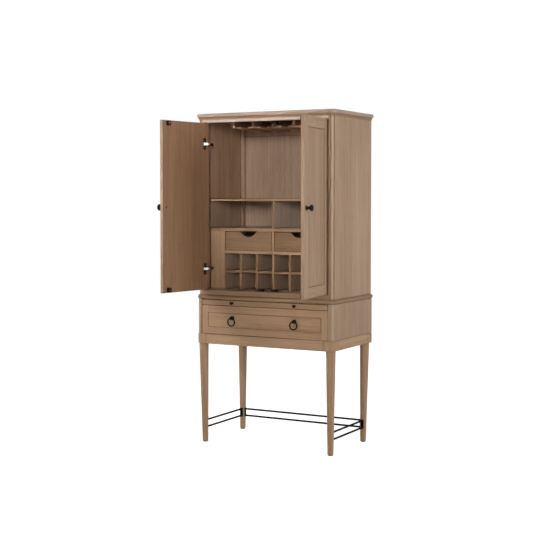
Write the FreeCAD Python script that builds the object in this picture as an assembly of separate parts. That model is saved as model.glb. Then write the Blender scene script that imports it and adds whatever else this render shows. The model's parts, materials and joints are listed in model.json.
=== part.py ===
# Bar armoire on a stand, in millimetres: X to the right, Y to the back, Z up from the floor.
# The origin is on the floor, under the centre of the crown. The doors are drawn standing open.

import FreeCAD, Part
import math
import os

V = FreeCAD.Vector
os.makedirs("parts", exist_ok=True)

# Overall size
height = 2032
crown_width = 952
crown_depth = 556

# Heights of the tiers
glide_thick = 4
apron_bottom = 618
apron_height = 62
lower_height = 214
waist_thick = 26
crown_thick = 22

# How far each tier stands inside the crown, at the sides and at the front
upper_side_inset = 14
upper_front_inset = 12
lower_side_inset = 8
lower_front_inset = 6
waist_side_inset = 2
apron_side_inset = 4
apron_front_inset = 2

# Legs
leg_block = 70
leg_block_round = 36
leg_rear_round = 8
leg_top_radius = 29
leg_foot_radius = 18
foot_lean_x = 5
foot_lean_y = 8
apron_thick = 22
apron_edge = 7
seam_groove = 1.5
glide_radius = 14

# Stretcher rods in two tiers, on plates let into flats on the legs
rod_radius = 6
rod_low = 90
rod_spacing = 43.5
plate_width = 16
plate_thick = 4
plate_past_rod = 1
flat_cut = 3.1
flat_fit = 0.2

# Lower case
lower_post_width = 34
lower_post_depth = 60
lower_post_flat = 2
lower_side_thick = 18
lower_back_thick = 12
lower_back_inset = 2
bottom_thick = 12
deck_thick = 12
front_clear = 1.5
guide_height = 20
guide_setback = 12
guide_rear_gap = 24
kicker_width = 26
kicker_drop = 15
waist_round = 38
waist_flat = 1

# Main drawer
drawer_gap = 2.6
drawer_side_gap = 3
drawer_front_thick = 20
drawer_frame = 42
drawer_panel_thick = 14
drawer_bevel = 7
drawer_bevel_fall = 4
drawer_side_thick = 12
drawer_headroom = 10
drawer_box_inset = 3
drawer_side_clear = 2
drawer_rear_gap = 34
drawer_bottom_lift = 8
drawer_bottom_thick = 8
slide_clear = 0.4

# Serving tray
tray_front_height = 31
tray_top_gap = 3.5
tray_low_gap = 3.5
tray_front_thick = 20
tray_thick = 16
tray_lap = 2
tray_rear_gap = 39
tray_knob_x = 214

# Ring pulls on the main drawer
pull_x = 213
pull_drop = 30
pull_reach = 17
ring_radius = 23.5
ring_wire = 4
eye_ball = 11
eye_half = 7
eye_hole = 5.8
boss_radius = 12
boss_thick = 4
boss_neck = 7

# Upper case
post_width = 33
post_depth = 69
rear_post_width = 37
rear_post_depth = 47
corner_step = 3
corner_radius = 17
groove = 2
side_thick = 16
rail_thick = 22
bottom_rail_height = 30
frieze_height = 33
board_thick = 18
back_thick = 9
back_inset = 14
back_rail_height = 74
back_rail_thick = 6
crown_round = 35
crown_top_ease = 8
crown_low_ease = 5
cove_height = 14
cove_reach = 7
cove_lip = 2
cove_toe = 2
cove_hollow_x = 2.9
cove_hollow_z = 6.8

# Fittings inside the upper case
inner_setback = 120
cubby_height = 104
inner_drawer_space = 119
niche_height = 166
shelf_thick = 15
niche_divider_thick = 15
module_top_thick = 20
filler_thick = 18
module_side_thick = 14
drawer_shelf_thick = 20
drawer_divider_thick = 18
wine_board = 14
filler_width = 107.1
cubbies_each_side = 3
lap_fit = 0.2

# Stemware rails under the ceiling
rack_pitch = 141
rack_drop = 49
rail_stem = 20
rail_flange = 98
flange_thick = 10
entry_cut = 16

# Inner drawers
inner_gap = 2
inner_low_gap = 2.4
inner_top_gap = 4
inner_front_thick = 16
inner_side_thick = 10
inner_headroom = 26
inner_side_in = 2
inner_rear_gap = 25
inner_bottom_lift = 6
inner_bottom_thick = 6
finger_width = 110
finger_depth = 32

# Doors
door_thick = 21
hinge_gap = 3
meeting_gap = 2.5
door_low_gap = 3
door_top_gap = 2
stile_width = 62
door_rail = 62
panel_bevel = 8
panel_bevel_fall = 4
edge_round = 3
pivot_in = 15
pivot_back = 9
rest_angle = 98

# One-pivot cranked hinges
hinge_from_end = 128
arm_thick = 6
arm_tall = 16
knuckle_radius = 4
pin_radius = 2
pin_clear = 0.05
pin_long = 25
elbow_x = 9.2
elbow_y = 20
arm_tail = 50
arm_block_start = 33
arm_block_long = 25
arm_block_tall = 18
notch_past = 11.5
notch_front = 4.6
notch_tall = 26
leaf_offset = 12.5
leaf_width = 24
leaf_tall = 68
leaf_thick = 2
leaf_round = 5
lug_thick = 2.5
lug_start = 8.4
lug_inner = 11
lug_low = 5
lug_join = 1
lug_slope_x = 5.5
link_in = 0.5
link_thick = 2
link_reach = 34
link_tall = 15
link_round = 4

# Strikes on the doors and catches in the case
strike_width = 24
strike_tall = 27
strike_out = 15.5
strike_round = 6
strike_in = 46
strike_from_end = 17
catch_width = 34
catch_deep = 30
catch_tall = 15
catch_clear = 0.5

# Turned knobs: radius and distance from the face, as shares of the head radius and of the projection
door_knob_radius = 19.5
door_knob_reach = 41
door_knob_in = 31
door_knob_drop = 3.5
tray_knob_radius = 9.5
tray_knob_reach = 22
knob_foot_share = 0.69
knob_rim_share = 0.06
knob_curve_shares = [(0.5, 0.18), (0.4, 0.33), (0.56, 0.5), (0.86, 0.67), (1.0, 0.82), (0.76, 0.95)]

# Levels and faces that follow from the sizes above
back = crown_depth / 2
front = -back
apron_top = apron_bottom + apron_height
lower_top = apron_top + lower_height
waist_top = lower_top + waist_thick
upper_top = height - crown_thick
crown_half = crown_width / 2
upper_half = crown_half - upper_side_inset
upper_front = front + upper_front_inset
lower_half = crown_half - lower_side_inset
lower_front = front + lower_front_inset
apron_half = crown_half - apron_side_inset
apron_front = front + apron_front_inset
opening_half = upper_half - post_width
rear_half = upper_half - rear_post_width
wall_half = upper_half - side_thick
post_back = upper_front + post_depth
rear_post_front = back - rear_post_depth
back_outer = back - back_inset
back_face = back_outer - back_thick
floor_top = waist_top + bottom_rail_height
ceiling_under = upper_top - board_thick
frieze_under = upper_top - frieze_height
inner_front = upper_front + inner_setback
door_bottom = floor_top + door_low_gap
door_top = frieze_under - door_top_gap
lower_opening = lower_half - lower_post_width
lower_wall = lower_half - lower_side_thick
lower_back_face = back - lower_back_inset - lower_back_thick
lower_round = lower_post_width - lower_post_flat
tray_top = lower_top - tray_top_gap
tray_bottom = tray_top - tray_front_height
drawer_top = tray_bottom - tray_low_gap
deck_top = tray_bottom - tray_lap
deck_level = deck_top - deck_thick
wine_shelf_level = floor_top + cubby_height
drawer_shelf_level = wine_shelf_level + wine_board + cubby_height
drawer_shelf_top = drawer_shelf_level + drawer_shelf_thick
module_top_level = drawer_shelf_top + inner_drawer_space
module_top = module_top_level + module_top_thick
shelf_level = module_top + niche_height
module_half = wall_half - filler_width
cubby_pitch = (module_half + wine_board / 2) / cubbies_each_side
pivot_x = -(opening_half - hinge_gap - pivot_in)
pivot_y = upper_front + pivot_back
Z_AXIS = V(0, 0, 1)

# Closeness at which two coordinates count as the same
tiny = 1e-4


def block(x0, x1, y0, y1, z0, z1):
    return Part.makeBox(x1 - x0, y1 - y0, z1 - z0, V(x0, y0, z0))


def mirrored(shape):
    return shape.mirror(V(0, 0, 0), V(1, 0, 0))


def both(shapes):
    # The given right or left pieces and their twins on the other side.
    return list(shapes) + [mirrored(s) for s in shapes]


def prism(points, z0, z1):
    wire = Part.makePolygon([V(x, y, z0) for x, y in points + points[:1]])
    return Part.Face(wire).extrude(V(0, 0, z1 - z0))


def joined(shapes):
    whole = shapes[0]
    for s in shapes[1:]:
        whole = whole.fuse(s)
    return whole.removeSplitter()


def save(name, shapes):
    whole = shapes[0] if len(shapes) == 1 else Part.makeCompound(shapes)
    whole.exportStep("parts/" + name + ".step")


def near(a, b):
    return abs(a - b) < tiny


def edges_where(shape, test):
    return [e for e in shape.Edges if test(e.CenterOfMass, e.BoundBox)]


def upright(b):
    return b.XLength < tiny and b.YLength < tiny


def rounded_slab(half, y0, y1, radius, z0, z1):
    # A slab whose two front corners are rounded in plan.
    slab = block(-half, half, y0, y1, z0, z1)
    corners = edges_where(slab, lambda c, b: upright(b) and near(c.y, y0))
    return slab.makeFillet(radius, corners)


def eased(slab, z, y1, radius):
    # Rounds the edge at height z along the front and the sides, and leaves the back edge square.
    rim = edges_where(slab, lambda c, b: b.ZLength < tiny and near(c.z, z) and c.y < y1 - tiny)
    return slab.makeFillet(radius, rim)


def turned(radius, reach):
    # A knob with a flat foot and rim, a waist and a domed head, standing along +Z from z = 0.
    foot = radius * knob_foot_share
    rim = reach * knob_rim_share
    points = [V(foot, 0, rim)]
    for r_share, h_share in knob_curve_shares:
        points.append(V(radius * r_share, 0, reach * h_share))
    points.append(V(0, 0, reach))
    curve = Part.BSplineCurve()
    curve.interpolate(points)
    lines = Part.makePolygon([V(0, 0, reach), V(0, 0, 0), V(foot, 0, 0), V(foot, 0, rim)])
    face = Part.Face(Part.Wire([curve.toShape()] + lines.Edges))
    return face.revolve(V(0, 0, 0), Z_AXIS, 360)


def facing_front(shape, x, y, z):
    # Turns a piece that stands along +Z so that it points to the front, with its foot at x, y, z.
    shape.rotate(V(0, 0, 0), V(1, 0, 0), 90)
    shape.translate(V(x, y, z))
    return shape


def fielded(x0, x1, y0, y1, z0, z1, bevel, fall):
    # A panel whose field comes forward to y0 within a bevel along all four edges.
    slab = block(x0, x1, y0 + fall, y1, z0, z1)
    field = Part.makeWedge(x0 + bevel, y0, z0 + bevel, z0, x0, x1 - bevel, y0 + fall, z1 - bevel, z1, x1)
    return joined([slab, field])


def edge_mould(profile, half, y0, y1, radius):
    # Three strips, one round the front and its corners and one along each side: profile(place) gives
    # the section where place maps an outward offset and a height to a point.
    cx = half - radius
    cy = y0 + radius
    rail = profile(lambda o, z: V(0, y0 - o, z)).extrude(V(cx, 0, 0))
    corner = profile(lambda o, z: V(cx, y0 - o, z)).revolve(V(cx, cy, 0), Z_AXIS, 90)
    side = profile(lambda o, z: V(half + o, cy, z)).extrude(V(0, y1 - cy, 0))
    right = joined([rail, corner])
    return [joined([right, mirrored(right)])] + both([side])


# Legs

block_x = apron_half - leg_block / 2
block_y = apron_front + leg_block / 2
foot_x = block_x - foot_lean_x
foot_y = block_y + foot_lean_y
rod_high = rod_low + rod_spacing
rod_mid = (rod_low + rod_high) / 2
rise_share = (rod_mid - glide_thick) / (apron_bottom - glide_thick)
rod_x = foot_x + foot_lean_x * rise_share
rod_y = foot_y - foot_lean_y * rise_share
plate_low = rod_low - rod_radius - plate_past_rod
plate_high = rod_high + rod_radius + plate_past_rod
leg_radius = leg_foot_radius + (leg_top_radius - leg_foot_radius) * rise_share
side_plate = rod_y + leg_radius - flat_cut
back_plate = rod_x - leg_radius + flat_cut


def seam(x, y):
    # A square bar on its edge, which cuts the V groove of an upright joint between a leg and an apron rail.
    g = seam_groove
    return prism([(x - g, y), (x, y - g), (x + g, y), (x, y + g)], apron_bottom, apron_top)


def leg(corner_round):
    # Front right leg: a block with one rounded corner over a leaning round taper.
    x0 = apron_half - leg_block
    y1 = apron_front + leg_block
    top = block(x0, apron_half, apron_front, y1, apron_bottom, apron_top)
    corner = edges_where(top, lambda c, b: upright(b) and near(c.x, apron_half) and near(c.y, apron_front))
    top = top.makeFillet(corner_round, corner)
    rim = edges_where(top, lambda c, b: b.ZLength < tiny and c.x > x0 + tiny and c.y < y1 - tiny)
    top = top.makeFillet(apron_edge, rim)
    foot = Part.Wire(Part.makeCircle(leg_foot_radius, V(foot_x, foot_y, glide_thick)))
    knee = Part.Wire(Part.makeCircle(leg_top_radius, V(block_x, block_y, apron_bottom)))
    shank = Part.makeLoft([foot, knee], True, True)
    # the flat on the back of the leg for the side stretcher's plate
    flat = block(x0, apron_half, side_plate, y1, plate_low - flat_fit, plate_high + flat_fit)
    return joined([top.cut(seam(x0, apron_front)).cut(seam(apron_half, y1)), shank]).cut(flat)


def to_back(shape):
    return shape.mirror(V(0, 0, 0), V(0, 1, 0))


front_leg = leg(leg_block_round)
# the rear leg has a second flat, on its inner side, for the back stretcher's plate
rear_flat = block(apron_half - leg_block, back_plate, -apron_front - leg_block, -apron_front,
                  plate_low - flat_fit, plate_high + flat_fit)
rear_leg = to_back(leg(leg_rear_round)).cut(rear_flat)
save("legs", both([front_leg, rear_leg]))

glide = Part.makeCylinder(glide_radius, glide_thick, V(foot_x, foot_y, 0))
save("foot_glides", both([glide, to_back(glide)]))

# Apron rails

rail_x = apron_half - leg_block
rail_y = -apron_front - leg_block
front_rail = block(-rail_x, rail_x, apron_front, apron_front + apron_thick, apron_bottom, apron_top)
front_rim = edges_where(front_rail, lambda c, b: b.ZLength < tiny and near(c.y, apron_front))
front_rail = front_rail.makeFillet(apron_edge, front_rim)
for x in (-rail_x, rail_x):
    front_rail = front_rail.cut(seam(x, apron_front))
side_rail = block(apron_half - apron_thick, apron_half, -rail_y, rail_y, apron_bottom, apron_top)
side_rim = edges_where(side_rail, lambda c, b: b.ZLength < tiny and near(c.x, apron_half))
side_rail = side_rail.makeFillet(apron_edge, side_rim)
for y in (-rail_y, rail_y):
    side_rail = side_rail.cut(seam(apron_half, y))
save("apron_rails", [front_rail, to_back(front_rail)] + both([side_rail]))

# Stretcher rods and plates

plates = []
for y0 in (side_plate, -side_plate - plate_thick):
    plates.append(block(rod_x - plate_width / 2, rod_x + plate_width / 2, y0, y0 + plate_thick,
                        plate_low, plate_high))
plates.append(block(back_plate - plate_thick, back_plate, -rod_y - plate_width / 2,
                    -rod_y + plate_width / 2, plate_low, plate_high))
save("stretcher_plates", both(plates))

side_rods = []
back_rods = []
for z in (rod_low, rod_high):
    near_end = side_plate + plate_thick
    far_end = back_plate - plate_thick
    side_rods.append(Part.makeCylinder(rod_radius, -2 * near_end, V(rod_x, near_end, z), V(0, 1, 0)))
    back_rods.append(Part.makeCylinder(rod_radius, 2 * far_end, V(-far_end, -rod_y, z), V(1, 0, 0)))
save("stretcher_rods", both(side_rods) + back_rods)

# Lower case

lower_post_back = lower_front + lower_post_depth
lower_post = block(lower_opening, lower_half, lower_front, lower_post_back, apron_top, lower_top)
lower_corner = edges_where(
    lower_post, lambda c, b: upright(b) and near(c.x, lower_half) and near(c.y, lower_front))
lower_post = lower_post.makeFillet(lower_round, lower_corner)
save("lower_posts", both([lower_post]))

lower_side = block(lower_wall, lower_half, lower_post_back, back, apron_top, lower_top)
save("lower_sides", both([lower_side]))
save("lower_back", [block(-lower_wall, lower_wall, lower_back_face, lower_back_face + lower_back_thick,
                          apron_top, lower_top)])

inner_of_front = lower_front + drawer_front_thick + front_clear


def lower_board(z0, z1):
    # A board behind the drawer fronts, let in between the posts and out to the side panels.
    wide = block(-lower_wall, lower_wall, lower_post_back, lower_back_face, z0, z1)
    slim = block(-lower_opening, lower_opening, inner_of_front, lower_post_back, z0, z1)
    return joined([wide, slim])


bottom_top = apron_top + bottom_thick
save("lower_bottom", [lower_board(apron_top, bottom_top)])
save("tray_deck", [lower_board(deck_level, deck_top)])

drawer_half = lower_opening - drawer_side_gap
box_half = drawer_half - drawer_box_inset
guide_x = box_half + drawer_side_clear
guide_front = lower_post_back + guide_setback
guide_back = lower_back_face - guide_rear_gap
drawer_guide = block(guide_x, lower_wall, guide_front, guide_back, bottom_top, bottom_top + guide_height)
tray_guide = block(guide_x, lower_wall, guide_front, guide_back, deck_top, lower_top)
kicker = block(guide_x - kicker_width, guide_x, guide_front, guide_back, lower_top - kicker_drop, lower_top)
save("drawer_guides", both([drawer_guide, tray_guide, kicker]))

waist = rounded_slab(crown_half - waist_side_inset, front, back, waist_round, lower_top, waist_top)
waist_nose = (waist_thick - waist_flat) / 2
waist = eased(waist, waist_top, back, waist_nose)
waist = eased(waist, lower_top, back, waist_nose)
save("waist_board", [waist])

# Main drawer

drawer_low = apron_top + drawer_gap
drawer_inner = lower_front + drawer_front_thick
frame_x = drawer_half - drawer_frame
frame_low = drawer_low + drawer_frame
frame_high = drawer_top - drawer_frame
drawer_stile = block(frame_x, drawer_half, lower_front, drawer_inner, drawer_low, drawer_top)
drawer_rails = [
    block(-frame_x, frame_x, lower_front, drawer_inner, drawer_low, frame_low),
    block(-frame_x, frame_x, lower_front, drawer_inner, frame_high, drawer_top),
]
save("drawer_front_frame", both([drawer_stile]) + drawer_rails)

save("drawer_front_panel", [fielded(-frame_x, frame_x, lower_front, lower_front + drawer_panel_thick,
                                    frame_low, frame_high, drawer_bevel, drawer_bevel_fall)])

box_in = box_half - drawer_side_thick
box_low = bottom_top + slide_clear
box_floor = box_low + drawer_bottom_lift
drawer_back = lower_back_face - drawer_rear_gap
drawer_side_top = deck_level - drawer_headroom
drawer_side = block(box_in, box_half, drawer_inner, drawer_back, box_low, drawer_side_top)
drawer_rear = block(-box_in, box_in, drawer_back - drawer_side_thick, drawer_back, box_floor, drawer_side_top)
drawer_floor = block(-box_in, box_in, drawer_inner, drawer_back - drawer_side_thick,
                     box_floor, box_floor + drawer_bottom_thick)
save("drawer_box", both([drawer_side]) + [drawer_rear, drawer_floor])

# Ring pulls: a disc, a neck and an eye cut flat on both sides, and a ring hung through the eye

pull_y = lower_front - pull_reach
pull_level = frame_high - pull_drop


def boss(x):
    disc = Part.makeCylinder(boss_radius, boss_thick, V(x, lower_front, pull_level), V(0, -1, 0))
    neck = Part.makeCylinder(boss_neck, pull_reach, V(x, lower_front, pull_level), V(0, -1, 0))
    ball = Part.makeSphere(eye_ball, V(x, pull_y, pull_level))
    # the part of the neck and ball that lies within the eye's two flat sides
    slab = block(x - eye_half, x + eye_half, pull_y - eye_ball, lower_front,
                 pull_level - eye_ball, pull_level + eye_ball)
    hole = Part.makeCylinder(eye_hole, 2 * eye_half, V(x - eye_half, pull_y, pull_level), V(1, 0, 0))
    return joined([disc, neck.fuse(ball).common(slab)]).cut(hole)


save("pull_bosses", [boss(-pull_x), boss(pull_x)])
for side, x in (("left", -pull_x), ("right", pull_x)):
    ring = Part.makeTorus(ring_radius, ring_wire, V(x, pull_y, pull_level - ring_radius), V(0, 1, 0))
    save(side + "_pull_ring", [ring])

# Serving tray

tray_inner = lower_front + tray_front_thick
tray_low = deck_top + slide_clear
tray_back = lower_back_face - tray_rear_gap
tray_knob_level = (tray_bottom + tray_top) / 2
save("tray_front", [block(-drawer_half, drawer_half, lower_front, tray_inner, tray_bottom, tray_top)])
save("tray_board", [block(-box_half, box_half, tray_inner, tray_back, tray_low, tray_low + tray_thick)])
tray_knob = facing_front(turned(tray_knob_radius, tray_knob_reach), tray_knob_x, lower_front, tray_knob_level)
save("tray_knobs", both([tray_knob]))

# Upper case


def front_post():
    # Right front post: the outer corner steps in from both faces to a quarter round.
    corner_x = upper_half - corner_step - corner_radius
    corner_y = upper_front + corner_step + corner_radius
    bend = corner_radius * math.cos(math.pi / 4)
    start = V(corner_x, corner_y - corner_radius, waist_top)
    middle = V(corner_x + bend, corner_y - bend, waist_top)
    end = V(corner_x + corner_radius, corner_y, waist_top)
    outline = [
        (upper_half, corner_y),
        (upper_half, post_back - groove),
        (upper_half - groove, post_back),
        (opening_half, post_back),
        (opening_half, upper_front),
        (corner_x, upper_front),
    ]
    lines = Part.makePolygon([end] + [V(x, y, waist_top) for x, y in outline] + [start])
    arc = Part.Arc(start, middle, end).toShape()
    return Part.Face(Part.Wire([arc] + lines.Edges)).extrude(V(0, 0, upper_top - waist_top))


save("front_posts", both([front_post()]))
save("rear_posts", both([block(rear_half, upper_half, rear_post_front, back, waist_top, upper_top)]))

side_panel = prism([
    (wall_half, post_back),
    (upper_half - groove, post_back),
    (upper_half, post_back + groove),
    (upper_half, rear_post_front),
    (wall_half, rear_post_front),
], waist_top, upper_top)
save("upper_sides", both([side_panel]))

rail_back = upper_front + rail_thick
save("bottom_rail", [block(-opening_half, opening_half, upper_front, rail_back, waist_top, floor_top)])
save("frieze_rail", [block(-opening_half, opening_half, upper_front, rail_back, frieze_under, upper_top)])


def case_board(y0, z0, z1):
    # A board that fills the case from y0 to the back panel, cut round the posts.
    pieces = [
        block(-wall_half, wall_half, max(y0, post_back), rear_post_front, z0, z1),
        block(-rear_half, rear_half, rear_post_front, back_face, z0, z1),
    ]
    if y0 < post_back:
        pieces.append(block(-opening_half, opening_half, y0, post_back, z0, z1))
    return joined(pieces)


save("upper_floor", [case_board(rail_back, floor_top - board_thick, floor_top)])
save("upper_ceiling", [case_board(rail_back, ceiling_under, upper_top)])

rail_face = back_face - back_rail_thick
back_panel = block(-rear_half, rear_half, back_face, back_outer, waist_top, upper_top)
back_rail = block(-rear_half, rear_half, rail_face, back_face,
                  ceiling_under - back_rail_height, ceiling_under)
save("upper_back", [back_panel, back_rail])

crown = rounded_slab(crown_half, front, back, crown_round, upper_top, height)
crown = eased(crown, height, back, crown_top_ease)
crown = eased(crown, upper_top, back, crown_low_ease)
save("crown_board", [crown])


def cove_section(place):
    # Hollow section under the crown, from a thin toe on the case to a square lip at the top.
    low = upper_top - cove_height
    toe = place(cove_toe, low)
    hollow = place(cove_hollow_x, low + cove_hollow_z)
    lip = place(cove_reach, upper_top - cove_lip)
    curve = Part.Arc(toe, hollow, lip).toShape()
    lines = Part.makePolygon([lip, place(cove_reach, upper_top), place(0, upper_top), place(0, low), toe])
    return Part.Face(Part.Wire([curve] + lines.Edges))


cove_round = corner_step + corner_radius
save("cove_moulding", edge_mould(cove_section, upper_half, upper_front, back, cove_round))

# Stemware rails: stems hung from the ceiling, each with a flange; the outer flanges reach inward only

rack_low = ceiling_under - rack_drop
flange_top = rack_low + flange_thick
rack = []
for n in range(-2, 3):
    x = n * rack_pitch
    half_stem = rail_stem / 2
    left = x - half_stem if n == -2 else x - rail_flange / 2
    right = x + half_stem if n == 2 else x + rail_flange / 2
    rack.append(block(x - half_stem, x + half_stem, inner_front, rail_face, flange_top, ceiling_under))
    # the front corners of each flange are cut back to lead a glass foot in
    left_cut = 0 if n == -2 else entry_cut
    right_cut = 0 if n == 2 else entry_cut
    outline = [(left + left_cut, inner_front), (right - right_cut, inner_front)]
    if right_cut:
        outline.append((right, inner_front + right_cut))
    outline += [(right, rail_face), (left, rail_face)]
    if left_cut:
        outline.append((left, inner_front + left_cut))
    rack.append(prism(outline, rack_low, flange_top))
save("stemware_rails", rack)

# Shelf, niche and the module of drawers and wine cubbies

save("shelf", [case_board(inner_front, shelf_level, shelf_level + shelf_thick)])
save("niche_divider", [block(-niche_divider_thick / 2, niche_divider_thick / 2, inner_front, back_face,
                             module_top, shelf_level)])
save("module_top", [case_board(inner_front, module_top_level, module_top)])

filler_back = inner_front + filler_thick
save("fillers", both([block(module_half, wall_half, inner_front, filler_back, floor_top, module_top_level)]))
save("module_sides", both([block(module_half, module_half + module_side_thick, filler_back, back_face,
                                 floor_top, module_top_level)]))

save("drawer_shelf", [block(-module_half, module_half, inner_front, back_face,
                            drawer_shelf_level, drawer_shelf_top)])
save("drawer_divider", [block(-drawer_divider_thick / 2, drawer_divider_thick / 2, inner_front, back_face,
                              drawer_shelf_top, module_top_level)])

# The wine shelf is slotted from the front and the dividers from the back, so that they lap halfway
lap_y = (inner_front + back_face) / 2
lap_half = wine_board / 2 + lap_fit
wine_shelf_top = wine_shelf_level + wine_board
wine_shelf = block(-module_half, module_half, inner_front, back_face, wine_shelf_level, wine_shelf_top)
dividers = []
for n in range(1 - cubbies_each_side, cubbies_each_side):
    x = n * cubby_pitch
    divider = block(x - wine_board / 2, x + wine_board / 2, inner_front, back_face,
                    floor_top, drawer_shelf_level)
    slot = block(x - wine_board, x + wine_board, lap_y - lap_fit, back_face,
                 wine_shelf_level - lap_fit, wine_shelf_top + lap_fit)
    dividers.append(divider.cut(slot))
    wine_shelf = wine_shelf.cut(block(x - lap_half, x + lap_half, inner_front, lap_y + lap_fit,
                                      wine_shelf_level, wine_shelf_top))
save("wine_shelf", [wine_shelf])
save("wine_dividers", dividers)

# Inner drawers, each a front with a round finger notch and a box

inner_x0 = drawer_divider_thick / 2 + inner_gap
inner_x1 = module_half - inner_gap
inner_low = drawer_shelf_top + inner_low_gap
inner_top = module_top_level - inner_top_gap
inner_face_back = inner_front + inner_front_thick
finger_radius = (finger_width ** 2 / 4 + finger_depth ** 2) / (2 * finger_depth)
finger_centre = inner_top - finger_depth + finger_radius
inner_face = block(inner_x0, inner_x1, inner_front, inner_face_back, inner_low, inner_top)
finger = Part.makeCylinder(finger_radius, inner_front_thick,
                           V((inner_x0 + inner_x1) / 2, inner_front, finger_centre), V(0, 1, 0))
inner_face = inner_face.cut(finger)
inner_box_low = drawer_shelf_top + slide_clear
inner_floor = inner_box_low + inner_bottom_lift
side_a = inner_x0 + inner_side_in
side_b = inner_x1 - inner_side_in
inner_a = side_a + inner_side_thick
inner_b = side_b - inner_side_thick
inner_back = back_face - inner_rear_gap
inner_side_top = module_top_level - inner_headroom
inner_end = inner_back - inner_side_thick
inner_box = [
    block(side_a, inner_a, inner_face_back, inner_back, inner_box_low, inner_side_top),
    block(inner_b, side_b, inner_face_back, inner_back, inner_box_low, inner_side_top),
    block(inner_a, inner_b, inner_end, inner_back, inner_floor, inner_side_top),
    block(inner_a, inner_b, inner_face_back, inner_end, inner_floor, inner_floor + inner_bottom_thick),
]
save("right_inner_drawer_front", [inner_face])
save("left_inner_drawer_front", [mirrored(inner_face)])
save("right_inner_drawer_box", inner_box)
save("left_inner_drawer_box", [mirrored(s) for s in inner_box])

# Doors: the left one is drawn shut, then swung open about its pivot, and the right one mirrors it

edge_x = -opening_half + hinge_gap
meet_x = -meeting_gap / 2
door_back = upper_front + door_thick
hinge_levels = [door_bottom + hinge_from_end, door_top - hinge_from_end]


def swung(shape):
    shape.rotate(V(pivot_x, pivot_y, 0), Z_AXIS, -rest_angle)
    return shape


def save_doors(part, shapes):
    opened = [swung(s) for s in shapes]
    save("left_door_" + part, opened)
    save("right_door_" + part, [mirrored(s) for s in opened])


hinge_stile = block(edge_x, edge_x + stile_width, upper_front, door_back, door_bottom, door_top)
lock_stile = block(meet_x - stile_width, meet_x, upper_front, door_back, door_bottom, door_top)
eased_edge = edges_where(
    hinge_stile, lambda c, b: upright(b) and near(c.x, edge_x) and near(c.y, upper_front))
hinge_stile = hinge_stile.makeFillet(edge_round, eased_edge)
for z in hinge_levels:
    # a notch open to the edge and to the inner face, in which the hinge arm turns
    hinge_stile = hinge_stile.cut(block(edge_x, pivot_x + notch_past, pivot_y - notch_front, door_back,
                                        z - notch_tall / 2, z + notch_tall / 2))
save_doors("stiles", [hinge_stile, lock_stile])

rail_x0 = edge_x + stile_width
rail_x1 = meet_x - stile_width
save_doors("rails", [
    block(rail_x0, rail_x1, upper_front, door_back, door_bottom, door_bottom + door_rail),
    block(rail_x0, rail_x1, upper_front, door_back, door_top - door_rail, door_top),
])
save_doors("panel", [fielded(rail_x0, rail_x1, upper_front, door_back, door_bottom + door_rail,
                             door_top - door_rail, panel_bevel, panel_bevel_fall)])

door_knob_level = (door_bottom + door_top) / 2 - door_knob_drop
save_doors("knob", [facing_front(turned(door_knob_radius, door_knob_reach),
                                 meet_x - door_knob_in, upper_front, door_knob_level)])

strike_x = meet_x - strike_in
strikes = []
for z in (door_bottom + strike_from_end, door_top - strike_from_end):
    strike = block(strike_x - strike_width / 2, strike_x + strike_width / 2,
                   door_back, door_back + strike_out, z - strike_tall / 2, z + strike_tall / 2)
    strike_corners = edges_where(strike, lambda c, b: b.XLength < tiny and b.ZLength < tiny)
    strikes.append(strike.makeFillet(strike_round, strike_corners))
save_doors("strikes", strikes)


# Hinge leaves on the doors, each with two lugs round a pin and a link plate that stands beside the arm

def leaf(z):
    x0 = pivot_x + leaf_offset
    plate = block(x0, x0 + leaf_width, door_back, door_back + leaf_thick,
                  z - leaf_tall / 2, z + leaf_tall / 2)
    corners = edges_where(plate, lambda c, b: b.XLength < tiny and b.ZLength < tiny)
    plate = plate.makeFillet(leaf_round, corners)
    outline = [
        (pivot_x - knuckle_radius, pivot_y),
        (pivot_x, pivot_y - knuckle_radius),
        (pivot_x + lug_inner, pivot_y + lug_low),
        (pivot_x + lug_inner, door_back),
        (x0 + lug_join, door_back),
        (x0 + lug_join, door_back + leaf_thick),
        (pivot_x + lug_slope_x, door_back + leaf_thick),
    ]
    lugs = [prism(outline, z + s, z + s + lug_thick) for s in (lug_start, -lug_start - lug_thick)]
    link_x = x0 + link_in
    link_end = door_back + link_reach
    link = block(link_x, link_x + link_thick, door_back, link_end, z - link_tall / 2, z + link_tall / 2)
    tips = edges_where(link, lambda c, b: b.YLength < tiny and b.ZLength < tiny and near(c.y, link_end))
    link = link.makeFillet(link_round, tips)
    bore = Part.makeCylinder(pin_radius, pin_long, V(pivot_x, pivot_y, z - pin_long / 2))
    return joined([plate, link] + lugs).cut(bore)


hinges = []
for z in hinge_levels:
    hinges.append(leaf(z))
    hinges.append(Part.makeCylinder(pin_radius, pin_long, V(pivot_x, pivot_y, z - pin_long / 2)))
save_doors("hinges", hinges)


# Hinge arms on the case: a knuckle round the pin, a crank to the elbow and a tail over a block on the post

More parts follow.
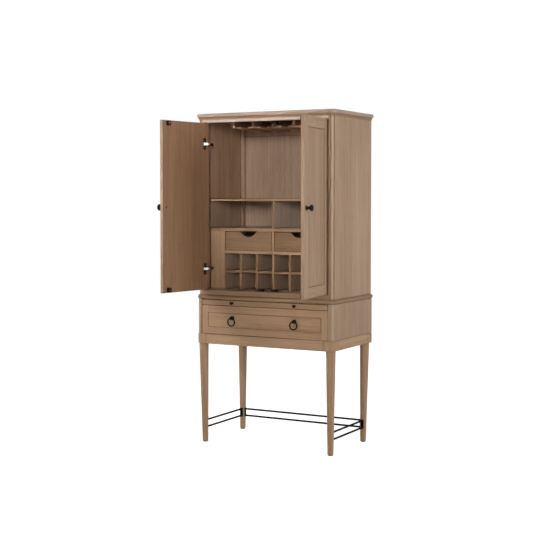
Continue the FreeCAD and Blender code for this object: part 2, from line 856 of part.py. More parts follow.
def arm(z):
    low = z - arm_tall / 2
    high = z + arm_tall / 2
    slope = math.hypot(elbow_x, elbow_y)
    across_x = arm_thick / 2 * elbow_y / slope
    across_y = arm_thick / 2 * elbow_x / slope
    ex = pivot_x + elbow_x
    ey = pivot_y + elbow_y
    knuckle = Part.makeCylinder(knuckle_radius, arm_tall, V(pivot_x, pivot_y, low))
    crank = prism([
        (pivot_x - across_x, pivot_y + across_y),
        (pivot_x + across_x, pivot_y - across_y),
        (ex + across_x, ey - across_y),
        (ex - across_x, ey + across_y),
    ], low, high)
    elbow = Part.makeCylinder(arm_thick / 2, arm_tall, V(ex, ey, low))
    tail = block(ex - arm_thick / 2, ex + arm_thick / 2, ey, ey + arm_tail, low, high)
    seat = block(-opening_half, ex, pivot_y + arm_block_start, pivot_y + arm_block_start + arm_block_long,
                 z - arm_block_tall / 2, z + arm_block_tall / 2)
    bore = Part.makeCylinder(pin_radius + pin_clear, arm_tall, V(pivot_x, pivot_y, low))
    return joined([knuckle, crank, elbow, tail, seat]).cut(bore)


save("hinge_arms", both([arm(z) for z in hinge_levels]))

# Door catches: two stand on the floor, and two hang level with the frieze, on packers under the ceiling

catch_y = door_back + strike_out + catch_clear
catch_back = catch_y + catch_deep
catch_x0 = strike_x - catch_width / 2
catch_x1 = strike_x + catch_width / 2
save("door_catches", both([
    block(catch_x0, catch_x1, catch_y, catch_back, floor_top, floor_top + catch_tall),
    block(catch_x0, catch_x1, catch_y, catch_back, frieze_under - catch_tall, frieze_under),
]))
save("catch_packers", both([block(catch_x0, catch_x1, catch_y, catch_back, frieze_under, ceiling_under)]))
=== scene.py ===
import json
import math

import bmesh
import bpy
from mathutils import Matrix, Vector


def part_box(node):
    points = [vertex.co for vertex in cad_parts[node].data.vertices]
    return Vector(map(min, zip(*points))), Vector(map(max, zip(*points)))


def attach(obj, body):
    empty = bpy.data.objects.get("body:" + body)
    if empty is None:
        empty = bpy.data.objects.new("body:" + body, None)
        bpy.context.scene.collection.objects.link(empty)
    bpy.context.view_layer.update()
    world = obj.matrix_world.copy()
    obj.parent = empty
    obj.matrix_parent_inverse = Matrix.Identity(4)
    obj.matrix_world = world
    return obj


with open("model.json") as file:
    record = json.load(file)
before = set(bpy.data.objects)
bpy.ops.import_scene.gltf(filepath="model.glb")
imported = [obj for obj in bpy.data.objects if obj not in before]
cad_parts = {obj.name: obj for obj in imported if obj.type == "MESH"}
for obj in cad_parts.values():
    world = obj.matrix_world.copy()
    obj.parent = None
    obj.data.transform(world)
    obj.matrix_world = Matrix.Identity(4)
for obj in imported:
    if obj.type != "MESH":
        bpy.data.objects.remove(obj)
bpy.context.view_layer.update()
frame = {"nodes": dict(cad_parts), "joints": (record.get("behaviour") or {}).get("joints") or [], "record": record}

nodes = frame["nodes"]
slots = {s["node"]: s["material_slot"] for s in frame["record"]["subparts"]}
joints = {j["name"]: j for j in frame["joints"]}
scene = bpy.context.scene
scene.view_settings.view_transform = "Standard"

# degrees that both doors stand open at rest, and the way each turns to shut, seen from above
door_rest_angle = -joints["left_door_hinge"]["range_deg"][0]
shut_turns = {"left": 1, "right": -1}
# points of a mesh that are nearer to each other than this are one
weld_gap = 1e-6


# Node trees

def linear(r, g, b):
    # A colour given by its screen values, 0 to 255, as the linear values that a shader takes.
    def one(v):
        v /= 255
        return v / 12.92 if v <= 0.04045 else ((v + 0.055) / 1.055) ** 2.4
    return (one(r), one(g), one(b), 1)


class Graph:
    # The nodes of a material or of the world. Sockets are filled with values or with other nodes' outputs.
    def __init__(self, owner):
        self.owner = owner
        owner.use_nodes = True
        self.tree = owner.node_tree
        self.tree.nodes.clear()

    def fill(self, socket, value):
        if isinstance(value, bpy.types.NodeSocket):
            self.tree.links.new(value, socket)
        else:
            socket.default_value = value

    def add(self, kind, sockets=None, **settings):
        node = self.tree.nodes.new("ShaderNode" + kind)
        for key, value in settings.items():
            setattr(node, key, value)
        for key, value in (sockets or {}).items():
            self.fill(node.inputs[key], value)
        return node

    def math(self, operation, a, b=0.0, clamp=False):
        return self.add("Math", {0: a, 1: b}, operation=operation, use_clamp=clamp).outputs[0]

    def vector(self, operation, a, b):
        return self.add("VectorMath", {0: a, 1: b}, operation=operation).outputs[0]

    def noise(self, at, scale, detail, roughness=0.5, distortion=0.0):
        sockets = {"Vector": at, "Scale": scale, "Detail": detail, "Roughness": roughness,
                   "Distortion": distortion}
        return self.add("TexNoise", sockets).outputs["Fac"]

    def spread(self, value, low, high, out_low=0.0, out_high=1.0):
        sockets = {"Value": value, "From Min": low, "From Max": high,
                   "To Min": out_low, "To Max": out_high}
        return self.add("MapRange", sockets, clamp=True).outputs[0]

    def mix(self, factor, a, b):
        node = self.add("Mix", data_type="RGBA")
        sockets = {s.identifier: s for s in node.inputs}
        self.fill(sockets["Factor_Float"], factor)
        self.fill(sockets["A_Color"], a)
        self.fill(sockets["B_Color"], b)
        return next(s for s in node.outputs if s.identifier == "Result_Color")

    def bump(self, height, strength, distance):
        return self.add("Bump", {"Height": height, "Strength": strength, "Distance": distance}).outputs[0]

    def surface(self, shader):
        self.add("OutputMaterial", {"Surface": shader})
        return self.owner

    def finished(self, colour, rough, bump, fixed):
        # The material, from what varies over its surface and the sockets that are the same all over.
        sockets = {"Base Color": colour, "Roughness": rough, "Normal": bump, **fixed}
        return self.surface(self.add("BsdfPrincipled", sockets).outputs[0])


def material_graph(name):
    return Graph(bpy.data.materials.new(name))


# Oak: fibre, pores and growth rings run along the board, with a tone of its own for each board

oak_tones = {
    # light, dark and pore colours
    "outside": (linear(192, 163, 136), linear(156, 126, 99), linear(106, 81, 59)),
    "door_front": (linear(185, 156, 129), linear(150, 120, 94), linear(102, 78, 57)),
    "warm": (linear(198, 163, 129), linear(162, 126, 93), linear(108, 80, 55)),
    # a darker copy of the oak: painted shade on the waist board and bottom rail, in the shadow of the open doors
    "shaded_brown": (linear(163, 131, 101), linear(131, 100, 72), linear(88, 65, 44)),
    "drawer": (linear(177, 142, 110), linear(144, 109, 79), linear(96, 70, 48)),
    "drawer_face": (linear(193, 157, 122), linear(157, 121, 89), linear(104, 76, 53)),
    "dull": (linear(196, 175, 158), linear(164, 142, 124), linear(110, 91, 76)),
    # a paler, greyer copy of the oak: painted light on the brightly lit frieze rail and niche divider
    "lit_pale": (linear(218, 201, 182), linear(188, 168, 148), linear(140, 118, 100)),
    "inside": (linear(193, 166, 143), linear(157, 129, 108), linear(104, 82, 65)),
    "lattice": (linear(195, 167, 141), linear(160, 132, 107), linear(106, 83, 63)),
    # a dark copy of the oak: painted shade inside the inner drawers, seen through the finger notches
    "shaded_umber": (linear(124, 94, 68), linear(98, 72, 50), linear(68, 48, 33)),
    "door_back": (linear(174, 136, 105), linear(148, 111, 83), linear(97, 70, 49)),
}
# the paler colour of eased edges: partly wear, partly a painted highlight
wear_and_highlight_tone = linear(206, 184, 158)
# the colour of the glaze and of the painted shade in corners, joints and gaps
glaze_and_shade_tone = linear(52, 37, 26)

# the axes across, across and along a board, by the axis of its grain
grain_orders = {"x": ("Y", "Z", "X"), "y": ("X", "Z", "Y"), "z": ("X", "Y", "Z")}
grain_noises = {
    # scale across, across and along the board, then detail, roughness and distortion
    "cloud": ((4.5, 4.5, 1.1), 3, 0.5, 0.0),
    "ring": ((5.5, 5.5, 0.4), 2, 0.45, 0.25),
    "patch": ((10, 10, 0.9), 2, 0.5, 0.0),
    "streak": ((75, 75, 1.8), 2, 0.5, 0.0),
    "fibre": ((330, 330, 9), 3, 0.6, 0.0),
    "pore": ((520, 520, 16), 1, 0.5, 0.0),
}
ring_count = 42
# the range of a noise's values that is spread out
noise_range = (0.3, 0.7)
patch_range = (0.42, 0.66)
pore_range = (0.6, 0.72)
# how far each of these moves the shade between the light and the dark colour
ring_shade = 0.15
streak_shade = 0.22
fibre_shade = 0.26
plank_shade = 0.09
board_shade = 0.12
cloud_shades = (0.28, 0.72)
# the height in a ring's wave over which pores gather, and the share of them below it
gather_range = (-0.6, 0.8)
least_pores = 0.25
pore_strength = 0.55

# steps in the grain from node to node, from board to board, and from the front boards to the back ones
seed_steps = (1.37, 2.11, 0.83)
board_steps = (3.1, 5.3, 7.7)
depth_step = 0.37
sheet_seed = 91
plank_width = 0.118
# how far a face looks to the front or the back, from none of it to all of it
facing_range = (0.5, 0.7)
# the largest part of the normal, from a flat face to an eased edge made paler
edge_range = (0.86, 0.74)
wear_and_highlight_share = 0.45

# how strong the glaze and the painted shade are in a corner, and how far from the corner they reach
full_glaze_and_shade = (0.9, 0.009)
thin_glaze_and_shade = (0.5, 0.009)
deep_glaze_and_shade = (0.97, 0.022)
glaze_and_shade_samples = 4
# the openness at which the glaze and the painted shade are strongest, and at which they end
glaze_and_shade_range = (0.45, 0.9)

# bump: strength and height, and how much the fibre adds to the pores
oak_bump = (0.5, 0.0004)
fibre_relief = 0.5
pore_dulling = 0.3
sheen_range = (0.1, 0.8)
oak_roughness = (0.72, 0.5)
oak_gloss = 0.3


def turned_back(g, vector, turn):
    # A vector of an open door as it is when the door is shut.
    if not turn:
        return vector
    sockets = {"Vector": vector, "Angle": math.radians(turn)}
    return g.add("VectorRotate", sockets, rotation_type="Z_AXIS").outputs[0]


def ordered(g, split, axis):
    sockets = {i: split[letter] for i, letter in enumerate(grain_orders[axis])}
    return g.add("CombineXYZ", sockets).outputs[0]


def board_chance(g):
    # A value from 0 to 1 that differs between the separate boards of a node.
    return g.add("NewGeometry").outputs["Random Per Island"]


def along_grain(g, axis, turn, seed, parted=None, cross=None):
    # Coordinates whose third value runs along the board, moved by a step that differs from board to board.
    place = turned_back(g, g.add("TexCoord").outputs["Object"], turn)
    split = g.add("SeparateXYZ", {0: place}).outputs
    at = ordered(g, split, axis)
    if cross:
        # boards further out than this limit run the other way
        other, limit = cross
        outside = g.math("GREATER_THAN", g.math("ABSOLUTE", split["X"]), limit)
        at = g.mix(outside, at, ordered(g, split, other))
    at = g.vector("ADD", at, [seed * step for step in seed_steps])
    if parted == "island":
        step = board_chance(g)
    elif parted == "sides":
        depth = g.math("MULTIPLY", g.math("SIGN", split["Y"]), depth_step)
        step = g.math("ADD", g.math("SIGN", split["X"]), depth)
    else:
        return at
    return g.vector("ADD", at, g.vector("MULTIPLY", step, board_steps))


def board_normal(g, turn):
    normal = g.add("VectorTransform", {0: g.add("NewGeometry").outputs["Normal"]},
                   vector_type="NORMAL", convert_from="WORLD", convert_to="OBJECT").outputs[0]
    return g.add("SeparateXYZ", {0: turned_back(g, normal, turn)}).outputs


def figure(g, at):
    # The shade of the grain, from the light colour at 0 to the dark one at 1, with its fibre and pores.
    noises = {name: g.noise(g.vector("MULTIPLY", at, scale), 1, *settings)
              for name, (scale, *settings) in grain_noises.items()}
    rings = g.math("SINE", g.math("MULTIPLY", noises["ring"], ring_count))
    # pores gather in the dark half of each ring
    gathered = g.spread(rings, *gather_range, least_pores, 1.0)
    pores = g.math("MULTIPLY", g.spread(noises["pore"], *pore_range), gathered)
    # growth rings show in patches, between streaks of uneven width
    shade = g.math("MULTIPLY", rings, g.spread(noises["patch"], *patch_range, 0.0, ring_shade))
    shade = g.math("ADD", shade, g.spread(noises["streak"], *noise_range, -streak_shade, streak_shade))
    shade = g.math("ADD", shade, g.spread(noises["fibre"], *noise_range, -fibre_shade, fibre_shade))
    shade = g.math("ADD", shade, g.spread(noises["cloud"], *noise_range, *cloud_shades), clamp=True)
    return shade, noises["fibre"], pores


def oak(name, tone, axis, turn=0, seed=0, parted=None, cross=None, planks=False, pale_edges=True, lipped=None,
        glaze_and_shade=full_glaze_and_shade):
    # A door has the turn that shuts it, and a lipped board the tone of the strip along its front edge.
    g = material_graph(name)
    normal = board_normal(g, turn)
    at = along_grain(g, axis, turn, seed, parted, cross)
    if turn:
        # a door's inner face is one sheet of veneer over the stiles, rails and panel
        inner = g.spread(normal["Y"], *facing_range)
        outer = g.math("SUBTRACT", 1.0, inner)
        at = g.mix(inner, at, along_grain(g, "z", turn, sheet_seed))
    shade, fibre, pores = figure(g, at)
    if planks:
        across = g.add("SeparateXYZ", {0: at}).outputs["X"]
        plank = g.math("FLOOR", g.math("DIVIDE", across, plank_width))
        tint = g.add("TexWhiteNoise", {"W": plank}, noise_dimensions="1D").outputs["Value"]
        shade = g.math("ADD", shade, g.spread(tint, 0, 1, -plank_shade, plank_shade), clamp=True)
    if parted == "island":
        lift = g.spread(board_chance(g), 0, 1, -board_shade, board_shade)
        if turn:
            lift = g.math("MULTIPLY", lift, outer)
        shade = g.math("ADD", shade, lift, clamp=True)
    light, dark, pore = oak_tones[tone]
    colour = g.mix(shade, light, dark)
    if turn:
        light, dark, pore = oak_tones["door_back"]
        colour = g.mix(inner, colour, g.mix(shade, light, dark))
    if lipped:
        light, dark, pore = oak_tones[lipped]
        front = g.spread(g.math("MULTIPLY", normal["Y"], -1.0), *facing_range)
        colour = g.mix(front, colour, g.mix(shade, light, dark))
    if pale_edges:
        # eased edges are paler, partly wear and partly a painted highlight; on the posts' rounded corners a
        # painted highlight runs down the middle of each round
        x, y, z = (g.math("ABSOLUTE", normal[letter]) for letter in "XYZ")
        largest = g.math("MAXIMUM", x, g.math("MAXIMUM", y, z))
        wear_and_highlight = g.spread(largest, *edge_range, 0, wear_and_highlight_share)
        if turn:
            wear_and_highlight = g.math("MULTIPLY", wear_and_highlight, outer)
        colour = g.mix(wear_and_highlight, colour, wear_and_highlight_tone)
    colour = g.mix(g.math("MULTIPLY", pores, pore_strength), colour, pore)
    # dark glaze is left in corners and joints, and shade is painted there and in the narrow gaps between parts,
    # darker the less open the surface is
    strength, reach = glaze_and_shade
    clear = g.add("AmbientOcclusion", {"Distance": reach}, samples=glaze_and_shade_samples).outputs["AO"]
    colour = g.mix(g.spread(clear, *glaze_and_shade_range, strength, 0), colour, glaze_and_shade_tone)
    relief = g.math("SUBTRACT", g.math("MULTIPLY", fibre, fibre_relief), pores)
    sheen = g.math("SUBTRACT", fibre, g.math("MULTIPLY", pores, pore_dulling))
    rough = g.spread(sheen, *sheen_range, *oak_roughness)
    return g.finished(colour, rough, g.bump(relief, *oak_bump), {"Specular IOR Level": oak_gloss})


# Metals and plastic

coating_tones = (linear(10, 9, 9), linear(22, 19, 17))
# scale and detail of each noise, then strength and height of each bump
coating_dents = (260, 2)
coating_smears = (45, 3)
smear_range = (0.35, 0.7)
coating_bump = (0.25, 0.0004)
# plating of the band in the middle of each hinge leaf: a painted highlight
highlight_plating = (linear(205, 202, 196), linear(228, 226, 221))
steel_plating = (linear(120, 116, 110), linear(158, 154, 148))
burnished = (linear(44, 40, 36), linear(66, 60, 54))
polish_scale = (900, 900, 40)
polish_detail = 2
polish_bump = (0.08, 0.0002)
plating_roughness = (0.2, 0.32)
highlight_fade = 0.001
plastic_tones = (linear(12, 12, 12), linear(22, 21, 21))
plastic_texture = (1400, 2)
plastic_blotches = (60, 2)
plastic_bump = (0.3, 0.0002)
plastic_roughness = (0.45, 0.62)
plastic_gloss = 0.15


def black_metal(name, smooth, coarse, gloss):
    # Dark bronze-black coating with a faint hammered surface, paler and duller in smears.
    g = material_graph(name)
    place = g.add("TexCoord").outputs["Object"]
    dents = g.noise(place, *coating_dents)
    smears = g.noise(place, *coating_smears)
    colour = g.mix(g.spread(smears, *smear_range), *coating_tones)
    rough = g.spread(smears, *noise_range, smooth, coarse)
    return g.finished(colour, rough, g.bump(dents, *coating_bump), {"Specular IOR Level": gloss})


def nickel(name, tones, away_tones=None, levels=None, highlight_half=0):
    # Plating with fine polishing marks along the height. Where two levels are given, its own tones are a painted
    # highlight in a band at each level, and other tones lie away from them.
    g = material_graph(name)
    place = g.add("TexCoord").outputs["Object"]
    marks = g.noise(g.vector("MULTIPLY", place, polish_scale), 1, polish_detail)
    shade = g.spread(marks, *noise_range)
    colour = g.mix(shade, *tones)
    if away_tones:
        height = g.add("SeparateXYZ", {0: place}).outputs["Z"]
        low, high = levels
        away = g.math("ABSOLUTE", g.math("SUBTRACT", height, (low + high) / 2))
        away = g.math("ABSOLUTE", g.math("SUBTRACT", away, (high - low) / 2))
        # 0 in the painted highlight band at each level, 1 away from it
        wing = g.spread(away, highlight_half, highlight_half + highlight_fade)
        colour = g.mix(wing, colour, g.mix(shade, *away_tones))
    rough = g.spread(marks, *noise_range, *plating_roughness)
    return g.finished(colour, rough, g.bump(marks, *polish_bump), {"Metallic": 1.0})


def black_plastic():
    g = material_graph("black_plastic")
    place = g.add("TexCoord").outputs["Object"]
    texture = g.noise(place, *plastic_texture)
    colour = g.mix(g.noise(place, *plastic_blotches), *plastic_tones)
    rough = g.spread(texture, *noise_range, *plastic_roughness)
    return g.finished(colour, rough, g.bump(texture, *plastic_bump), {"Specular IOR Level": plastic_gloss})


# Which way the grain runs on each wooden node, and how the boards of a node are told apart

boards = {
    # node: tone, grain axis, by separate solid or by the side that they stand on
    "lower_posts": ("outside", "z", "sides"),
    "lower_sides": ("door_front", "z", "island"),
    "front_posts": ("outside", "z", "sides"),
    "rear_posts": ("outside", "z", "island"),
    "upper_sides": ("outside", "z", "sides"),
    "legs": ("warm", "z", "sides"),
    "apron_rails": ("warm", "x", None),
    "waist_board": ("shaded_brown", "x", None),
    "crown_board": ("dull", "x", None),
    # the cove's darker tone is painted shade under the crown's overhang
    "cove_moulding": ("drawer", "x", None),
    "bottom_rail": ("shaded_brown", "x", None),
    "frieze_rail": ("lit_pale", "x", None),
    "drawer_front_frame": ("drawer_face", "x", None),
    "drawer_front_panel": ("drawer_face", "x", None),
    # the tray front's darker tone is painted shade from the open left door
    "tray_front": ("drawer", "x", None),
    "tray_board": ("inside", "x", None),
    "lower_back": ("inside", "x", None),
    "lower_bottom": ("inside", "x", None),
    "tray_deck": ("inside", "x", None),
    "drawer_guides": ("inside", "y", "island"),
    "upper_floor": ("inside", "x", None),
    "upper_ceiling": ("inside", "x", None),
    "upper_back": ("inside", "z", None),
    "stemware_rails": ("drawer", "y", "island"),
    "shelf": ("inside", "x", None),
    "niche_divider": ("lit_pale", "z", None),
    "module_top": ("inside", "x", None),
    "fillers": ("warm", "z", "island"),
    "module_sides": ("lattice", "z", "island"),
    "drawer_shelf": ("inside", "x", None),
    "drawer_divider": ("lattice", "z", None),
    "wine_shelf": ("lattice", "x", None),
    "wine_dividers": ("lattice", "z", "island"),
    "drawer_box": ("inside", "y", "island"),
    "left_inner_drawer_front": ("drawer", "x", None),
    "right_inner_drawer_front": ("drawer", "x", None),
    "left_inner_drawer_box": ("shaded_umber", "y", "island"),
    "right_inner_drawer_box": ("shaded_umber", "y", "island"),
    "catch_packers": ("inside", "x", None),
}
door_boards = {
    # part of a door: grain axis, glaze and painted shade
    "stiles": ("z", full_glaze_and_shade),
    "rails": ("x", thin_glaze_and_shade),
    "panel": ("z", thin_glaze_and_shade),
}
door_seed = 60
door_seed_step = 10
planked = {"upper_sides", "upper_back", "lower_sides"}
lippings = {
    "shelf": "warm",
    "module_top": "warm",
    "niche_divider": "warm",
    "drawer_shelf": "warm",
    "drawer_divider": "warm",
    "module_sides": "drawer",
    "wine_shelf": "drawer",
    "wine_dividers": "drawer",
}
# boards of one node that run another way: their axis, and the distance from the centre where they start
apron_end = 0.03
cross_grain = {
    "drawer_front_frame": ("z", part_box("drawer_front_panel")[1][0]),
    "apron_rails": ("y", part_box("apron_rails")[1][0] - apron_end),
    "cove_moulding": ("y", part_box("upper_sides")[1][0]),
}
# nodes with less or more glaze and painted shade; on the front posts it reaches further, painting the shade in the
# gaps beside the doors
glazes_and_shades = {"drawer_front_panel": thin_glaze_and_shade, "drawer_front_frame": thin_glaze_and_shade, "front_posts": deep_glaze_and_shade}
# boards with rounded edges of their own, the ones among these with a painted highlight down their rounds, and flat
# ones whose edges aren't made paler
round_boards = {"legs", "apron_rails", "waist_board", "crown_board", "cove_moulding",
                "front_posts", "lower_posts"}
highlighted_posts = {"front_posts", "lower_posts"}
dark_edged = {"tray_front", "drawer_front_frame"}
edge_ease = 0.0011
ease_steps = 2
flat_limit = math.radians(0.5)
edge_limit = math.radians(40)


def give(node, material):
    node.data.materials.clear()
    node.data.materials.append(material)


def ease_edges(node):
    # Joins the faces of each board and rounds its edges a little, as sanding leaves them.
    weld = node.modifiers.new("weld", "WELD")
    weld.merge_threshold = weld_gap
    merge = node.modifiers.new("merge_flats", "DECIMATE")
    merge.decimate_type = "DISSOLVE"
    merge.angle_limit = flat_limit
    ease = node.modifiers.new("ease", "BEVEL")
    ease.width = edge_ease
    ease.segments = ease_steps
    ease.limit_method = "ANGLE"
    ease.angle_limit = edge_limit
    shading = node.modifiers.new("shading", "WEIGHTED_NORMAL")
    shading.keep_sharp = True


def has_pale_edges(name):
    if name in round_boards:
        return name in highlighted_posts
    return name not in lippings and name not in dark_edged


for seed, (name, (tone, axis, parted)) in enumerate(boards.items(), 1):
    give(nodes[name], oak("oak_" + name, tone, axis, seed=seed, parted=parted, cross=cross_grain.get(name),
                          planks=name in planked, pale_edges=has_pale_edges(name), lipped=lippings.get(name),
                          glaze_and_shade=glazes_and_shades.get(name, full_glaze_and_shade)))
    if name not in round_boards:
        ease_edges(nodes[name])

for side, sign in shut_turns.items():
    for seed, (part, (axis, glaze_and_shade)) in enumerate(door_boards.items(), door_seed + door_seed_step * sign):
        name = side + "_door_" + part
        give(nodes[name], oak("oak_" + name, "door_front", axis, turn=sign * door_rest_angle, seed=seed,
                              parted="island", glaze_and_shade=glaze_and_shade))
        ease_edges(nodes[name])

# half the height of a hinge's leaf, and of the band in its middle that is painted bright as a highlight
leaf_half = 0.034
leaf_highlight_half = 0.0085
hinge_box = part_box("left_door_hinges")
hinge_levels = (hinge_box[0][2] + leaf_half, hinge_box[1][2] - leaf_half)
pull_metal = black_metal("pull_metal", smooth=0.32, coarse=0.46, gloss=0.1)
rod_metal = black_metal("rod_metal", smooth=0.65, coarse=0.8, gloss=0.03)
plastic = black_plastic()
leaf_metal = nickel("hinge_leaf", highlight_plating, burnished, hinge_levels, leaf_highlight_half)
arm_metal = nickel("hinge_arm", burnished)
for name, node in nodes.items():
    if slots[name] == "nickel":
        give(node, arm_metal if name == "hinge_arms" else leaf_metal)
    elif slots[name] == "black_metal":
        give(node, rod_metal if name.startswith("stretcher") else pull_metal)
    elif slots[name] == "black_plastic":
        give(node, plastic)


# Fixings: domed screw heads with a cross recess, and steel discs on the strikes

head_sides = 16
# share of the radius and of the height of each ring, from the rim to the recess
head_rings = ((1.0, 0.0), (1.0, 0.45), (0.82, 0.86), (0.52, 1.0), (0.38, 1.0), (0.16, 1.0))
cross_arms = 4
cross_reach = 0.45
cross_centre = 0.2
cross_depth = 0.6
head_crease = math.radians(35)
# radius and height of each kind of head
leaf_screw = (0.0042, 0.0013)
knob_screw = (0.0055, 0.0016)
strike_disc = (0.0075, 0.0003)
plate_bolt = (0.0052, 0.0028)
catch_screw = (0.0028, 0.001)
back_screw = (0.0036, 0.0012)
# where the heads are: on the leaves and strikes of the doors, along the catches, round the back panels
leaf_thick = 0.002
leaf_centre = 0.012
leaf_screw_steps = (-0.022, 0.022)
strike_thick = 0.0155
strike_half = 0.0135
catch_screw_shares = (0.25, 0.75)
back_screw_in = 0.012
back_screw_pitch = 0.2


def stamp_head(shape, place, normal, radius, height):
    # Adds one head, which stands on a face with this outward normal.
    turn = Vector((0, 0, 1)).rotation_difference(normal).to_matrix()
    rings = []
    for share, rise in head_rings:
        ring = []
        for i in range(head_sides):
            angle = 2 * math.pi * i / head_sides
            on_arm = i % (head_sides // cross_arms) == 0
            sunk = share < cross_centre or (share < cross_reach and on_arm)
            up = height * (rise - (cross_depth if sunk else 0))
            point = Vector((radius * share * math.cos(angle), radius * share * math.sin(angle), up))
            ring.append(shape.verts.new(Vector(place) + turn @ point))
        rings.append(ring)
    for outer, inner in zip(rings, rings[1:]):
        for i in range(head_sides):
            k = (i + 1) % head_sides
            shape.faces.new((outer[i], outer[k], inner[k], inner[i]))
    shape.faces.new(rings[-1])
    shape.faces.new(rings[0][::-1])


def add_heads(name, body, material, places, size):
    # One piece that holds the heads of all these places, each a point and a normal.
    shape = bmesh.new()
    for place, normal in places:
        stamp_head(shape, place, Vector(normal), *size)
    mesh = bpy.data.meshes.new(name)
    shape.to_mesh(mesh)
    shape.free()
    for face in mesh.polygons:
        face.use_smooth = True
    mesh.set_sharp_from_angle(angle=head_crease)
    mesh.materials.append(material)
    piece = bpy.data.objects.new(name, mesh)
    scene.collection.objects.link(piece)
    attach(piece, body)


def opened(side):
    # Takes a point of a shut door to its place at rest, where the door stands open.
    pivot = Matrix.Translation(joints[side + "_door_hinge"]["pos_m"])
    angle = -shut_turns[side] * math.radians(door_rest_angle)
    return pivot @ Matrix.Rotation(angle, 4, "Z") @ pivot.inverted()


def shut_box(side, part):
    # The lowest and highest corners of a door's node, with the door shut.
    back = opened(side).inverted()
    points = [back @ v.co for v in nodes[side + "_door_" + part].data.vertices]
    return [Vector([pick(p[i] for p in points) for i in range(3)]) for pick in (min, max)]


def on_door(side, x, out, z):
    # A point this far out of a shut door's inner face, and the face's normal, both taken to the rest pose.
    rest = opened(side)
    face = shut_box(side, "stiles")[1].y
    return rest @ Vector((x, face + out, z)), rest.to_3x3() @ Vector((0, 1, 0))


def solid_boxes(name):
    # The lowest and highest corners of each separate solid of a node.
    shape = bmesh.new()
    shape.from_mesh(nodes[name].data)
    bmesh.ops.remove_doubles(shape, verts=shape.verts, dist=weld_gap)
    seen = set()
    boxes = []
    for first in shape.verts:
        if first in seen:
            continue
        seen.add(first)
        found = [first]
        for v in found:
            for edge in v.link_edges:
                other = edge.other_vert(v)
                if other not in seen:
                    seen.add(other)
                    found.append(other)
        boxes.append([[pick(v.co[i] for v in found) for i in range(3)] for pick in (min, max)])
    shape.free()
    return boxes


steel = nickel("screw_steel", steel_plating)
dark_steel = nickel("dark_screw", burnished)
for side, sign in shut_turns.items():
    low, high = shut_box(side, "hinges")
    leaf_x = (high.x if sign > 0 else low.x) - sign * leaf_centre
    screws = [on_door(side, leaf_x, leaf_thick, level + step) for level in hinge_levels
              for step in leaf_screw_steps]
    add_heads(side + "_leaf_screws", side + "_door", steel, screws, leaf_screw)
    low, high = shut_box(side, "knob")
    knob = on_door(side, (low.x + high.x) / 2, 0, (low.z + high.z) / 2)
    add_heads(side + "_knob_screw", side + "_door", dark_steel, [knob], knob_screw)
    low, high = shut_box(side, "strikes")
    discs = [on_door(side, (low.x + high.x) / 2, strike_thick, z)
             for z in (low.z + strike_half, high.z - strike_half)]
    add_heads(side + "_strike_discs", side + "_door", steel, discs, strike_disc)

bolts = []
for low, high in solid_boxes("stretcher_plates"):
    # a bolt in the middle of each plate, on the face towards the centre of the stand
    middle = [(a + b) / 2 for a, b in zip(low, high)]
    thin = 0 if high[0] - low[0] < high[1] - low[1] else 1
    normal = [0, 0, 0]
    normal[thin] = -1 if middle[thin] > 0 else 1
    middle[thin] = low[thin] if middle[thin] > 0 else high[thin]
    bolts.append((middle, normal))
add_heads("plate_bolts", "cabinet", rod_metal, bolts, plate_bolt)

catch_screws = []
for low, high in solid_boxes("door_catches"):
    # two screws on the face that looks into the case
    up = 1 if low[2] < hinge_levels[0] else -1
    y = (low[1] + high[1]) / 2
    z = high[2] if up > 0 else low[2]
    for share in catch_screw_shares:
        x = low[0] + (high[0] - low[0]) * share
        catch_screws.append(((x, y, z), (0, 0, up)))
add_heads("catch_screws", "cabinet", dark_steel, catch_screws, catch_screw)

back_screws = []
for name in ("upper_back", "lower_back"):
    # a row of screws along each edge of the panel
    low, high = (Vector(v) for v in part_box(name))
    columns = round((high.x - low.x) / back_screw_pitch)
    rows = round((high.z - low.z) / back_screw_pitch)
    for i in range(columns + 1):
        for k in range(rows + 1):
            if i in (0, columns) or k in (0, rows):
                x = low.x + back_screw_in + (high.x - low.x - 2 * back_screw_in) * i / columns
                z = low.z + back_screw_in + (high.z - low.z - 2 * back_screw_in) * k / rows
                back_screws.append(((x, high.y, z), (0, 1, 0)))
add_heads("back_screws", "cabinet", dark_steel, back_screws, back_screw)


# Stage: white floor and background, a soft key from the front left, wide fills from the right and the back,
# and a narrow fill that reaches into the open case

white = (1, 1, 1, 1)
floor_reach = 30
floor_paint = (0.85, 0.85, 0.85, 1)
floor_glow = 0.75
# distances from the centre between which the floor fades to white
floor_fade = (1.5, 6.0)
world_light = 0.1
lamps = {
    # place, point that it aims at, width and height, watts, degrees that its light spreads
    "key": ((-2.3, -2.0, 2.9), (0, -0.3, 1.4), (0.9, 0.9), 62, 180),
    "inside_fill": ((2.0, -5.35, 2.3), (-0.2, 0, 1.6), (0.4, 1.6), 3.4, 22),
    "right_fill": ((5.0, -1.0, 2.3), (0, 0, 1.1), (2.5, 2.5), 105, 180),
    "back_fill": ((-1.5, 5.5, 2.8), (0, 0, 1.1), (2.5, 2.5), 130, 180),
}


def in_sight(g):
    # 1 on rays that show the stage itself, straight or through a mirror or glass, and 0 on those that light.
    ray = g.add("LightPath").outputs
    through = g.math("MAXIMUM", ray["Is Glossy Ray"], ray["Is Transmission Ray"])
    return g.math("MAXIMUM", ray["Is Camera Ray"], through)


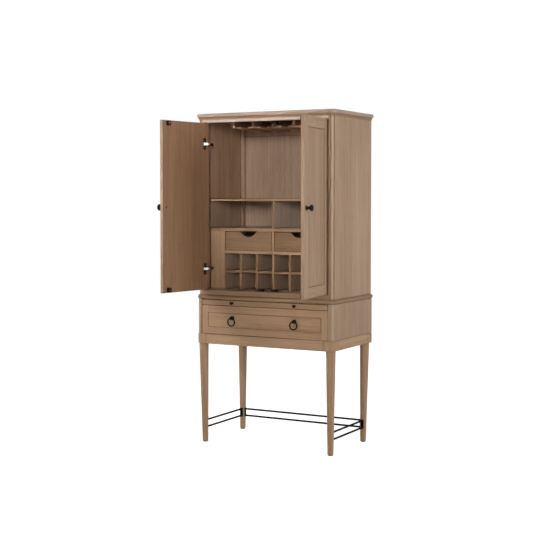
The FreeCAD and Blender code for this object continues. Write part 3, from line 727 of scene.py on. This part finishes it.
def stage_floor():
    # Lit by the lamps, so that it keeps the shadow, with a glow that brings it to white.
    g = material_graph("floor")
    place = g.add("TexCoord").outputs["Object"]
    distance = g.add("VectorMath", {0: place}, operation="LENGTH").outputs["Value"]
    paint = g.add("BsdfDiffuse", {"Color": floor_paint}).outputs[0]
    glow = g.add("Emission", {"Color": white, "Strength": floor_glow}).outputs[0]
    lit = g.add("AddShader", {0: paint, 1: glow}).outputs[0]
    plain = g.add("Emission", {"Color": white, "Strength": 1.0}).outputs[0]
    seen = g.add("MixShader", {0: g.spread(distance, *floor_fade), 1: lit, 2: plain}).outputs[0]
    material = g.surface(g.add("MixShader", {0: in_sight(g), 1: paint, 2: seen}).outputs[0])
    mesh = bpy.data.meshes.new("floor")
    r = floor_reach
    mesh.from_pydata([(-r, -r, 0), (r, -r, 0), (r, r, 0), (-r, r, 0)], [], [(0, 1, 2, 3)])
    mesh.materials.append(material)
    floor = bpy.data.objects.new("floor", mesh)
    scene.collection.objects.link(floor)


def stage_world():
    scene.world = bpy.data.worlds.new("studio")
    g = Graph(scene.world)
    soft = g.add("Background", {"Color": white, "Strength": world_light}).outputs[0]
    plain = g.add("Background", {"Color": white, "Strength": 1.0}).outputs[0]
    mix = g.add("MixShader", {0: in_sight(g), 1: soft, 2: plain}).outputs[0]
    g.add("OutputWorld", {"Surface": mix})


def softbox(name, place, aim, size, power, spread):
    lamp = bpy.data.lights.new(name, "AREA")
    lamp.shape = "RECTANGLE"
    lamp.size, lamp.size_y = size
    lamp.energy = power
    lamp.spread = math.radians(spread)
    box = bpy.data.objects.new(name, lamp)
    box.location = place
    box.rotation_euler = (Vector(aim) - Vector(place)).to_track_quat("-Z", "Y").to_euler()
    scene.collection.objects.link(box)


stage_floor()
stage_world()
for name, settings in lamps.items():
    softbox(name, *settings)


# Camera: looks slightly down, with a small shift, as the photograph is framed

camera_place = (3.452, -6.49, 1.509)
camera_yaw = 28.87
camera_pitch = 2.3
camera_lens = 80.2
camera_sensor = 36
camera_shift = -0.0369
camera = bpy.data.objects.new("camera", bpy.data.cameras.new("camera"))
camera.data.lens = camera_lens
camera.data.sensor_width = camera_sensor
camera.data.shift_y = camera_shift
camera.location = camera_place
camera.rotation_euler = (math.radians(90 - camera_pitch), 0, math.radians(camera_yaw))
scene.collection.objects.link(camera)
scene.camera = camera
